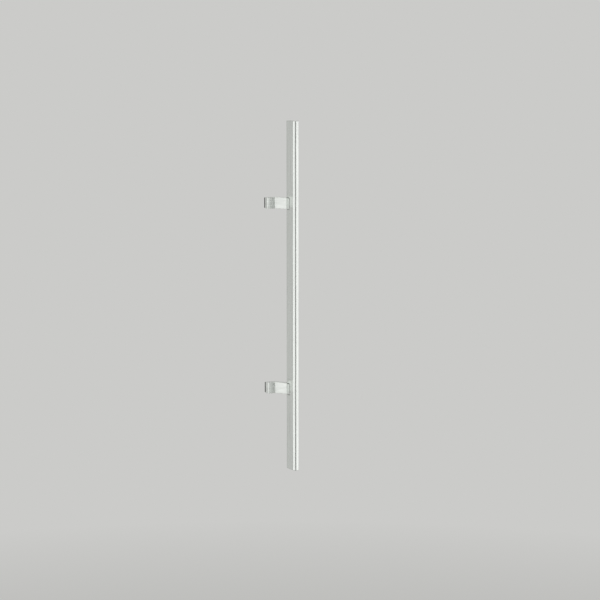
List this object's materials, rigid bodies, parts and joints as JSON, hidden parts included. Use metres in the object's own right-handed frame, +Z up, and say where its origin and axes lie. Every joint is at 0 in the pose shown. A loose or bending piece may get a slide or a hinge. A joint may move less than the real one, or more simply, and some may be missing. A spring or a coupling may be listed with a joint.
{
  "type": "door push bar",
  "caption": "Straight flat grip bar with rounded edges on dog-leg brackets, fixed upright to a door face to push or pull the door open",
  "frame": {"origin": "midway between the two fixing holes, on the plane of the metal feet that face the door", "axes": "+Z up along the bar, +Y into the door, +X to the right along the door from the feet towards the bar"},
  "size_m": [0.0455, 0.072, 0.75],
  "materials": {
    "satin_steel": "satin brushed stainless steel",
    "screw_steel": "plain stainless steel",
    "gasket_rubber": "matt black"
  },
  "bodies": {
    "root": {"grip_bar": "satin_steel", "upper_bracket": "satin_steel", "lower_bracket": "satin_steel", "bracket_screws": "screw_steel", "upper_foot_gasket": "gasket_rubber", "lower_foot_gasket": "gasket_rubber"}
  },
  "joints": []
}
